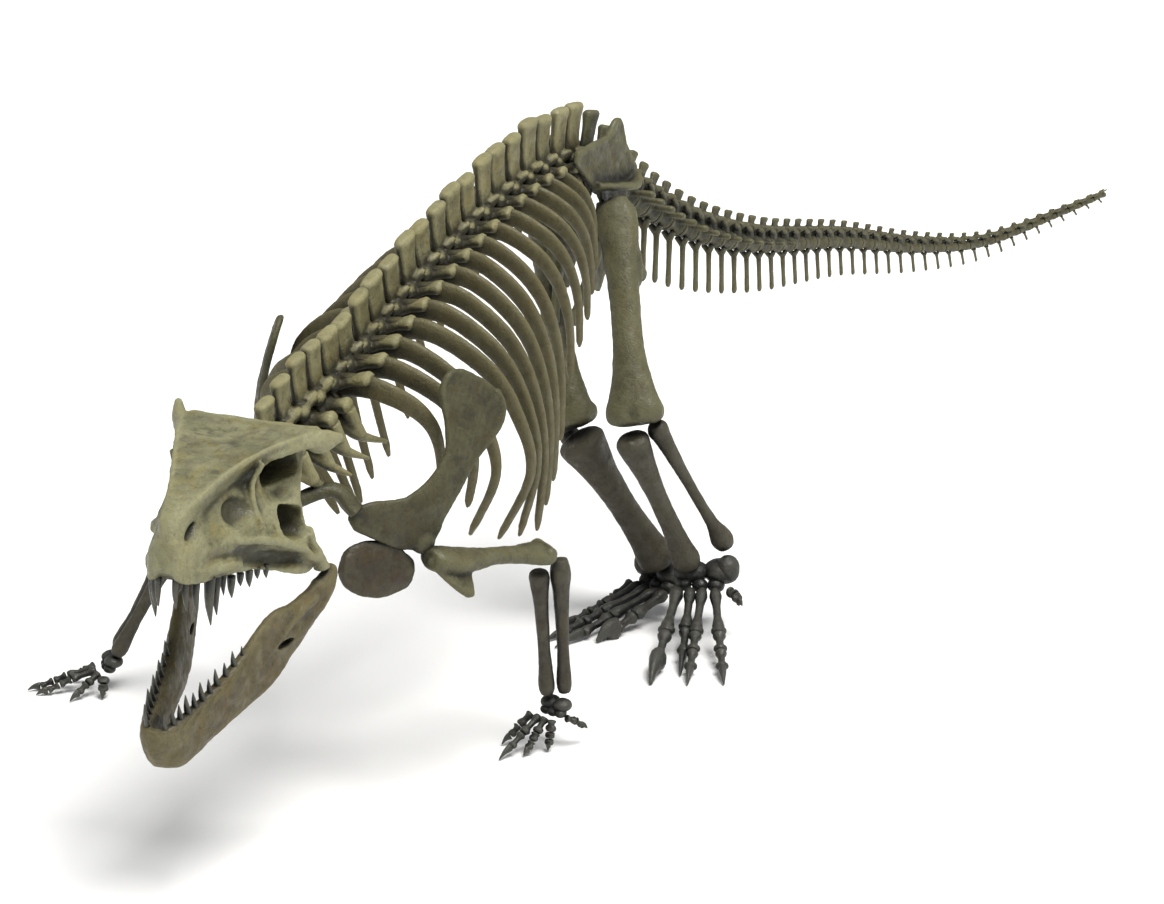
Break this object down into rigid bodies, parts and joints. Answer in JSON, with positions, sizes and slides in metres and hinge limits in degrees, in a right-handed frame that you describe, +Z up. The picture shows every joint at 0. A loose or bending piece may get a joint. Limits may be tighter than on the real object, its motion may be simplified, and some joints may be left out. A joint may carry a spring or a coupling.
{
  "type": "mounted archosauriform reptile skeleton",
  "caption": "Life-size mounted skeleton of a large-headed early archosauriform reptile, standing on all fours with its head low, jaws open and tail raised.",
  "frame": {"origin": "centre of the bounding box in X and Y, on the floor under the hands and feet", "axes": "+Z up; the animal faces -Y, its tail runs to +Y and its left side is +X"},
  "size_m": [0.7418, 2.5792, 0.6519],
  "materials": {
    "bone_skull": "matt grey-tan fossil bone",
    "bone_jaw": "matt ochre-brown fossil bone",
    "bone_axial": "matt olive-brown fossil bone",
    "bone_limb": "matt grey-brown fossil bone"
  },
  "bodies": {
    "root": {"skull": "bone_skull", "lower_jaw": "bone_jaw", "neck": "bone_axial", "rib_cage_left": "bone_axial", "rib_cage_right": "bone_axial", "sacrum": "bone_axial", "tail_1": "bone_axial", "tail_2": "bone_axial", "tail_3": "bone_axial", "tail_4": "bone_axial", "hip_left": "bone_limb", "scapula_left": "bone_limb", "coracoid_left": "bone_limb", "clavicle_left": "bone_limb", "humerus_left": "bone_limb", "radius_left": "bone_limb", "ulna_left": "bone_limb", "wrist_left": "bone_limb", "finger_left_1": "bone_limb", "finger_left_2": "bone_limb", "finger_left_3": "bone_limb", "finger_left_4": "bone_limb", "finger_left_5": "bone_limb", "femur_left": "bone_limb", "tibia_left": "bone_limb", "fibula_left": "bone_limb", "ankle_left": "bone_limb", "toe_left_1": "bone_limb", "toe_left_2": "bone_limb", "toe_left_3": "bone_limb", "toe_left_4": "bone_limb", "toe_left_5": "bone_limb", "hip_right": "bone_limb", "scapula_right": "bone_limb", "coracoid_right": "bone_limb", "clavicle_right": "bone_limb", "humerus_right": "bone_limb", "radius_right": "bone_limb", "ulna_right": "bone_limb", "wrist_right": "bone_limb", "finger_right_1": "bone_limb", "finger_right_2": "bone_limb", "finger_right_3": "bone_limb", "finger_right_4": "bone_limb", "finger_right_5": "bone_limb", "femur_right": "bone_limb", "tibia_right": "bone_limb", "fibula_right": "bone_limb", "ankle_right": "bone_limb", "toe_right_1": "bone_limb", "toe_right_2": "bone_limb", "toe_right_3": "bone_limb", "toe_right_4": "bone_limb", "toe_right_5": "bone_limb"}
  },
  "joints": []
}
